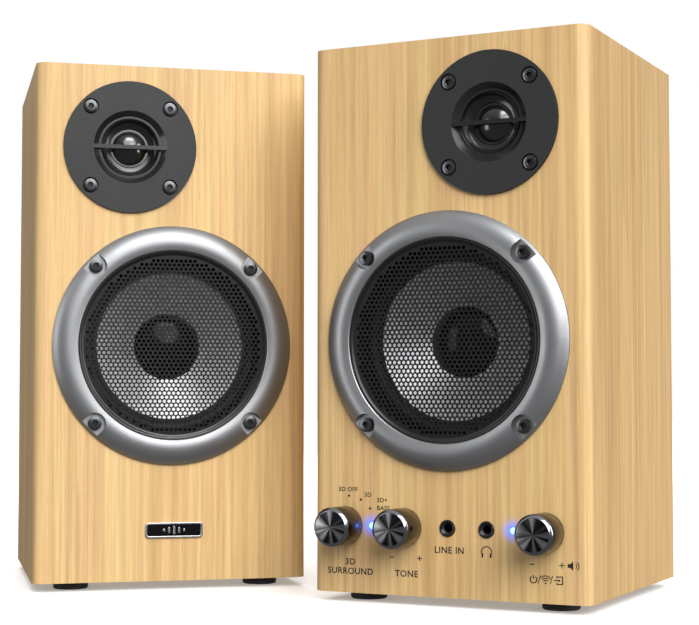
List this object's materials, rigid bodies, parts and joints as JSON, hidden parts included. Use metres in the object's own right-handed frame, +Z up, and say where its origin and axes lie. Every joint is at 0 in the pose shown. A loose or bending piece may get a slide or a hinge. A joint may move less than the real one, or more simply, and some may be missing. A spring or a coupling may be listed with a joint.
{
  "type": "desktop speakers",
  "caption": "Wood-finish two-way desktop loudspeakers, one active with knobs and sockets, one passive, toed in towards the listener.",
  "frame": {"origin": "centre of the pair's footprint on the desk", "axes": "+X to the right as seen from the front, +Y to the rear, +Z up"},
  "size_m": [0.3742, 0.2522, 0.2715],
  "materials": {
    "oak_vinyl_on_fibreboard": "satin straight-grained light oak foil",
    "rear_board_black": "black-faced fibreboard",
    "rubber_black": "matte rubber",
    "plastic_black": "fine matte moulded plastic",
    "plastic_satin_charcoal": "satin charcoal moulding",
    "silver_paint": "satin silver paint",
    "guard_black": "black powder coat, perforated",
    "basket_black": "black painted stamped steel",
    "cone_silver": "silver-coated cone",
    "cap_gloss_black": "glossy dust cap",
    "coil_former": "copper winding on its former",
    "spider_cloth": "resin-treated cloth",
    "motor_iron": "zinc-plated iron and ferrite",
    "screw_black": "black oxide steel",
    "dome_black": "glossy dome",
    "knob_gunmetal": "anodised black, spun face",
    "control_housing": "moulded housing",
    "circuit_board": "green solder mask",
    "led_blue": "lit blue lamp",
    "amp_plate": "black anodised plate",
    "transformer_core": "varnished laminations",
    "socket_nickel": "nickel-plated shells",
    "rocker_black": "polished rocker",
    "lever_red": "red spring lever",
    "lever_black": "black spring lever",
    "film_capacitor": "yellow film capacitor",
    "badge_silver": "plain brushed badge"
  },
  "bodies": {
    "active_cabinet": {"active_front_board": "oak_vinyl_on_fibreboard", "active_side_panels": "oak_vinyl_on_fibreboard", "active_end_panels": "oak_vinyl_on_fibreboard", "active_rear_panel": "rear_board_black", "active_feet": "rubber_black", "active_port_tube": "plastic_black", "active_woofer_trim_ring": "silver_paint", "active_woofer_grille": "guard_black", "active_woofer_basket": "basket_black", "active_woofer_surround": "rubber_black", "active_woofer_spider": "spider_cloth", "active_woofer_motor": "motor_iron", "active_woofer_screws": "screw_black", "active_tweeter_faceplate": "plastic_satin_charcoal", "active_tweeter_motor": "motor_iron", "active_tweeter_screws": "screw_black", "active_surround_switch": "control_housing", "active_tone_potentiometer": "control_housing", "active_volume_encoder": "control_housing", "active_control_board": "circuit_board", "active_front_jacks": "plastic_black", "active_indicator_leds": "led_blue", "active_amplifier_plate": "amp_plate", "active_amplifier_plate_screws": "screw_black", "active_amplifier_board": "circuit_board", "active_power_transformer": "transformer_core", "active_rca_jacks": "socket_nickel", "active_power_inlet": "plastic_black"},
    "active_woofer_mover": {"active_woofer_cone": "cone_silver", "active_woofer_dust_cap": "cap_gloss_black", "active_woofer_voice_coil": "coil_former"},
    "active_tweeter_mover": {"active_tweeter_dome": "dome_black"},
    "surround_knob": {"active_surround_knob": "knob_gunmetal"},
    "tone_knob": {"active_tone_knob": "knob_gunmetal"},
    "volume_rotor": {"active_volume_rotor": "control_housing"},
    "volume_knob": {"active_volume_knob": "knob_gunmetal"},
    "power_rocker": {"active_power_rocker": "rocker_black"},
    "passive_woofer_mover": {"passive_woofer_cone": "cone_silver", "passive_woofer_dust_cap": "cap_gloss_black", "passive_woofer_voice_coil": "coil_former"},
    "passive_tweeter_mover": {"passive_tweeter_dome": "dome_black"},
    "red_lever": {"passive_terminal_lever_red": "lever_red"},
    "black_lever": {"passive_terminal_lever_black": "lever_black"},
    "passive_cabinet": {"passive_front_board": "oak_vinyl_on_fibreboard", "passive_side_panels": "oak_vinyl_on_fibreboard", "passive_end_panels": "oak_vinyl_on_fibreboard", "passive_rear_panel": "rear_board_black", "passive_feet": "rubber_black", "passive_port_tube": "plastic_black", "passive_woofer_trim_ring": "silver_paint", "passive_woofer_grille": "guard_black", "passive_woofer_basket": "basket_black", "passive_woofer_surround": "rubber_black", "passive_woofer_spider": "spider_cloth", "passive_woofer_motor": "motor_iron", "passive_woofer_screws": "screw_black", "passive_tweeter_faceplate": "plastic_satin_charcoal", "passive_tweeter_motor": "motor_iron", "passive_tweeter_screws": "screw_black", "passive_terminal_cup": "plastic_black", "passive_tweeter_capacitor": "film_capacitor", "passive_badge": "badge_silver"}
  },
  "joints": [
    {"name": "active_woofer_travel", "type": "slide", "parent": "active_cabinet", "child": "active_woofer_mover", "axis": [-0.3469, -0.9379, 0], "range_m": [-0.003, 0.003], "stiffness_N_per_m": 1200, "deforming": ["active_woofer_surround", "active_woofer_spider"]},
    {"name": "active_tweeter_travel", "type": "slide", "parent": "active_cabinet", "child": "active_tweeter_mover", "axis": [-0.3469, -0.9379, 0], "range_m": [-0.0003, 0.0003], "stiffness_N_per_m": 2000},
    {"name": "passive_woofer_travel", "type": "slide", "parent": "passive_cabinet", "child": "passive_woofer_mover", "axis": [0.3469, -0.9379, 0], "range_m": [-0.003, 0.003], "stiffness_N_per_m": 1200, "deforming": ["passive_woofer_surround", "passive_woofer_spider"]},
    {"name": "passive_tweeter_travel", "type": "slide", "parent": "passive_cabinet", "child": "passive_tweeter_mover", "axis": [0.3469, -0.9379, 0], "range_m": [-0.0003, 0.0003], "stiffness_N_per_m": 2000},
    {"name": "surround_turn", "type": "hinge", "parent": "active_cabinet", "child": "surround_knob", "pos_m": [0.02353, -0.07012, 0.0372], "axis": [0.3469, 0.9379, 0], "range_deg": [0, 50]},
    {"name": "tone_turn", "type": "hinge", "parent": "active_cabinet", "child": "tone_knob", "pos_m": [0.0526, -0.08088, 0.0372], "axis": [0.3469, 0.9379, 0], "range_deg": [-140, 140]},
    {"name": "volume_turn", "type": "hinge", "parent": "active_cabinet", "child": "volume_rotor", "pos_m": [0.11929, -0.10554, 0.0372], "axis": [0.3469, 0.9379, 0], "continuous": true},
    {"name": "volume_push", "type": "slide", "parent": "volume_rotor", "child": "volume_knob", "axis": [0.3469, 0.9379, 0], "range_m": [0, 0.0015], "stiffness_N_per_m": 2500},
    {"name": "power_switch", "type": "hinge", "parent": "active_cabinet", "child": "power_rocker", "pos_m": [0.14251, 0.03247, 0.067], "axis": [-0.9379, 0.3469, 0], "range_deg": [0, 20]},
    {"name": "passive_cabinet_placement", "type": "slide", "parent": "active_cabinet", "child": "passive_cabinet", "axis": [1, 0, 0], "range_m": [-0.25, 0]},
    {"name": "red_lever_press", "type": "hinge", "parent": "passive_cabinet", "child": "red_lever", "pos_m": [-0.12939, 0.0929, 0.0705], "axis": [0.9379, 0.3469, 0], "range_deg": [0, 20], "stiffness_Nm_per_rad": 0.12},
    {"name": "black_lever_press", "type": "hinge", "parent": "passive_cabinet", "child": "black_lever", "pos_m": [-0.10819, 0.10074, 0.0705], "axis": [0.9379, 0.3469, 0], "range_deg": [0, 20], "stiffness_Nm_per_rad": 0.12}
  ]
}
